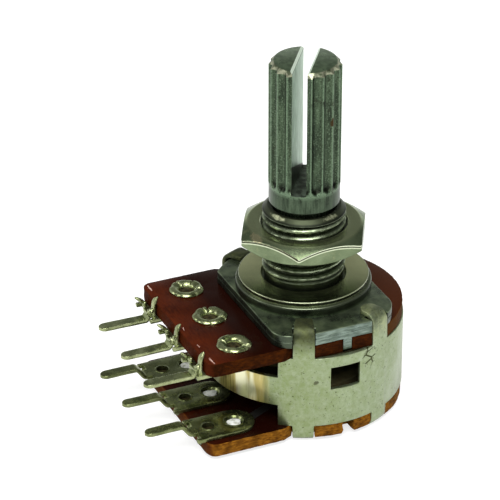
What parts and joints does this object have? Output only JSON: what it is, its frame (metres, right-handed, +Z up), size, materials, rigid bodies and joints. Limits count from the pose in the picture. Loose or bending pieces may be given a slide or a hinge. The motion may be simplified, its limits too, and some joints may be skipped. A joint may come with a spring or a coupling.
{
  "type": "rotary potentiometer",
  "caption": "Panel-mount rotary potentiometer: threaded bushing with nut and washer, split splined shaft, folded metal case and stacked phenolic boards with solder pins.",
  "frame": {"origin": "on the shaft's axis at the mounting face, where the washer rests on the round boss", "axes": "+Z up the shaft to the knob end, -Y towards the solder pins, +X towards the locating tongue"},
  "size_m": [0.017, 0.0251, 0.0313],
  "materials": {
    "die_cast_zinc": "zinc die casting, dull grey with a green cast",
    "plated_steel": "stamped steel, plated, satin",
    "turned_shaft": "turned and splined metal, satin",
    "spring_steel": "spring steel, oiled",
    "phenolic_board": "paper laminate, red-brown, punched edges lighter",
    "carbon_ink": "screen-printed carbon, matte",
    "silver_ink": "screen-printed silver, satin",
    "rotor_plastic": "moulded plastic, black",
    "spring_bronze": "thin spring sheet, bright",
    "tinned_sheet": "tinned sheet steel, bright satin with fine pits",
    "tinned_brass": "stamped brass, tinned, satin"
  },
  "bodies": {
    "housing": {"bushing_plate": "die_cast_zinc", "washer": "plated_steel", "front_board": "phenolic_board", "front_carbon_track": "carbon_ink", "front_collector_ring": "silver_ink", "case_shell": "tinned_sheet", "rear_board": "phenolic_board", "rear_carbon_track": "carbon_ink", "rear_collector_ring": "silver_ink", "front_terminal_left": "tinned_brass", "front_terminal_middle": "tinned_brass", "front_terminal_right": "tinned_brass", "rear_terminal_left": "tinned_brass", "rear_terminal_middle": "tinned_brass", "rear_terminal_right": "tinned_brass"},
    "rotor": {"shaft": "turned_shaft", "retaining_ring": "spring_steel", "front_rotor": "rotor_plastic", "front_wiper": "spring_bronze", "rear_rotor": "rotor_plastic", "rear_wiper": "spring_bronze"},
    "panel_nut": {"nut": "plated_steel"}
  },
  "joints": [
    {"name": "shaft_turn", "type": "hinge", "parent": "housing", "child": "rotor", "pos_m": [0, 0, 0], "axis": [0, 0, 1], "range_deg": [-150, 150]},
    {"name": "nut_travel", "type": "slide", "parent": "housing", "child": "panel_nut", "axis": [0, 0, 1], "range_m": [-0.00303, 0.0025]}
  ]
}
